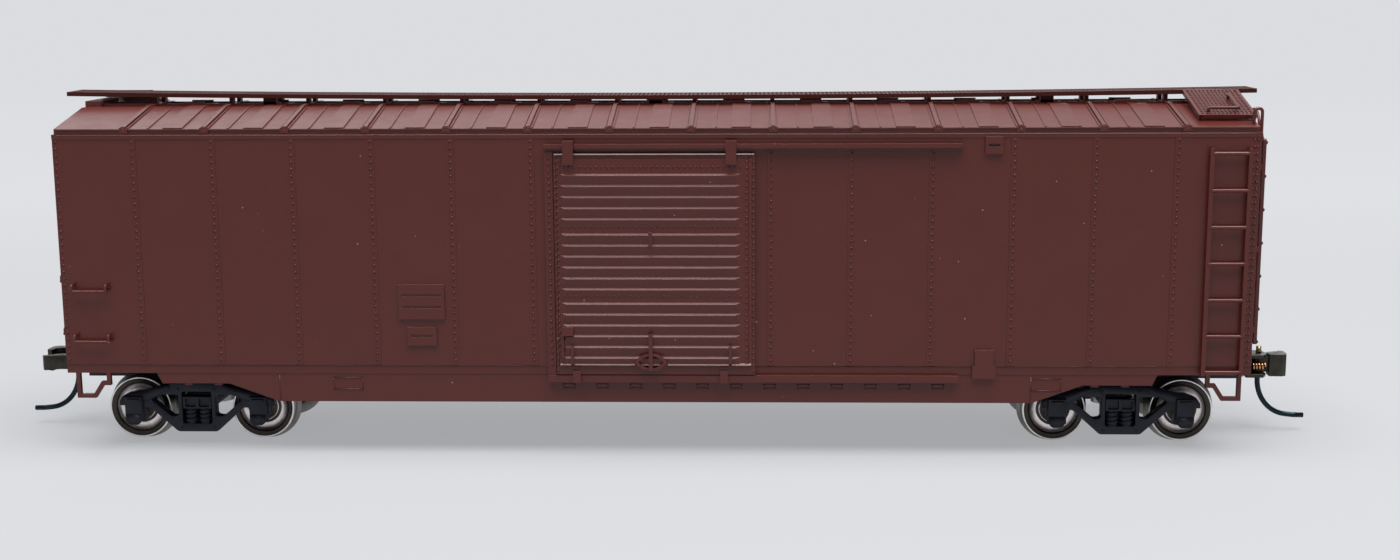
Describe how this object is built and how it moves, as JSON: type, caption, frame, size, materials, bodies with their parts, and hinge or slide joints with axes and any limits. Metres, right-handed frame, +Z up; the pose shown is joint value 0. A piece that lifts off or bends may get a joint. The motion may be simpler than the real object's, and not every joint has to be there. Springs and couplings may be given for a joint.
{
  "type": "scale model boxcar",
  "caption": "Scale model railway boxcar with ribbed sliding side doors, sprung-style swivelling trucks, ladders, roof walk, handbrake and knuckle couplers.",
  "frame": {"origin": "centre of the car's footprint, at the lowest point of the wheel flanges", "axes": "+X along the car towards the handbrake end, +Y across the car away from the pictured side, +Z up"},
  "size_m": [0.2064, 0.0382, 0.0547],
  "materials": {
    "body_red": "satin painted brown-red plastic",
    "truck_black": "matte black plastic",
    "wheel_metal": "turned nickel with a dark face",
    "axle_metal": "turned steel",
    "coupler_metal": "blackened metal",
    "weight_steel": "plain rolled steel",
    "screw_steel": "plain steel screw"
  },
  "bodies": {
    "car": {"air_tank": "body_red", "brake_cylinder": "body_red", "brake_housing": "body_red", "brake_wheel": "body_red", "control_valve": "body_red", "coupler_box_brake": "truck_black", "coupler_box_plain": "truck_black", "door_rail_bottom_far": "body_red", "door_rail_bottom_near": "body_red", "door_rail_top_far": "body_red", "door_rail_top_near": "body_red", "end_brake": "body_red", "end_grabs_brake": "body_red", "end_grabs_plain": "body_red", "end_ladder_brake": "body_red", "end_ladder_plain": "body_red", "end_plain": "body_red", "floor": "body_red", "pivot_screw_brake": "screw_steel", "pivot_screw_plain": "screw_steel", "roof": "body_red", "roof_platform_brake": "body_red", "roof_platform_plain": "body_red", "running_board": "body_red", "side_far": "body_red", "side_grabs_far": "body_red", "side_grabs_near": "body_red", "side_ladder_far": "body_red", "side_ladder_near": "body_red", "side_near": "body_red", "steel_weight": "weight_steel", "step_far_left": "body_red", "step_far_right": "body_red", "step_near_left": "body_red", "step_near_right": "body_red", "underframe": "body_red"},
    "door_near": {"door_near": "body_red"},
    "door_far": {"door_far": "body_red"},
    "truck_brake": {"truck_bolster_brake": "truck_black", "truck_frames_brake": "truck_black"},
    "coupler_brake": {"coupler_brake": "coupler_metal", "knuckle_spring_brake": "coupler_metal"},
    "knuckle_brake": {"knuckle_brake": "coupler_metal", "trip_wire_brake": "coupler_metal"},
    "truck_plain": {"truck_bolster_plain": "truck_black", "truck_frames_plain": "truck_black"},
    "coupler_plain": {"coupler_plain": "coupler_metal", "knuckle_spring_plain": "coupler_metal"},
    "knuckle_plain": {"knuckle_plain": "coupler_metal", "trip_wire_plain": "coupler_metal"},
    "wheelset_1": {"axle_1": "axle_metal", "wheels_1": "wheel_metal"},
    "wheelset_2": {"axle_2": "axle_metal", "wheels_2": "wheel_metal"},
    "wheelset_3": {"axle_3": "axle_metal", "wheels_3": "wheel_metal"},
    "wheelset_4": {"axle_4": "axle_metal", "wheels_4": "wheel_metal"}
  },
  "joints": [
    {"name": "door_near_slide", "type": "slide", "parent": "car", "child": "door_near", "axis": [1, 0, 0], "range_m": [0, 0.0303]},
    {"name": "door_far_slide", "type": "slide", "parent": "car", "child": "door_far", "axis": [-1, 0, 0], "range_m": [0, 0.0303]},
    {"name": "truck_brake_swivel", "type": "hinge", "parent": "car", "child": "truck_brake", "pos_m": [0.0718, 0, 0.0101], "axis": [0, 0, 1], "range_deg": [-12, 12]},
    {"name": "truck_plain_swivel", "type": "hinge", "parent": "car", "child": "truck_plain", "pos_m": [-0.0718, 0, 0.0101], "axis": [0, 0, 1], "range_deg": [-12, 12]},
    {"name": "wheelset_1_spin", "type": "hinge", "parent": "truck_brake", "child": "wheelset_1", "pos_m": [0.0816, 0, 0.00545], "axis": [0, 1, 0], "continuous": true},
    {"name": "wheelset_2_spin", "type": "hinge", "parent": "truck_brake", "child": "wheelset_2", "pos_m": [0.062, 0, 0.00545], "axis": [0, 1, 0], "continuous": true},
    {"name": "wheelset_3_spin", "type": "hinge", "parent": "truck_plain", "child": "wheelset_3", "pos_m": [-0.062, 0, 0.00545], "axis": [0, 1, 0], "continuous": true},
    {"name": "wheelset_4_spin", "type": "hinge", "parent": "truck_plain", "child": "wheelset_4", "pos_m": [-0.0816, 0, 0.00545], "axis": [0, 1, 0], "continuous": true},
    {"name": "coupler_brake_swing", "type": "hinge", "parent": "car", "child": "coupler_brake", "pos_m": [0.0865, 0, 0.0109], "axis": [0, 0, 1], "range_deg": [-9, 9], "stiffness_Nm_per_rad": 0.0002},
    {"name": "knuckle_brake_open", "type": "hinge", "parent": "coupler_brake", "child": "knuckle_brake", "pos_m": [0.0957, -0.00115, 0.0109], "axis": [0, 0, -1], "range_deg": [0, 20], "stiffness_Nm_per_rad": 0.0001},
    {"name": "coupler_plain_swing", "type": "hinge", "parent": "car", "child": "coupler_plain", "pos_m": [-0.0865, 0, 0.0109], "axis": [0, 0, 1], "range_deg": [-9, 9], "stiffness_Nm_per_rad": 0.0002},
    {"name": "knuckle_plain_open", "type": "hinge", "parent": "coupler_plain", "child": "knuckle_plain", "pos_m": [-0.0957, 0.00115, 0.0109], "axis": [0, 0, -1], "range_deg": [0, 20], "stiffness_Nm_per_rad": 0.0001}
  ]
}
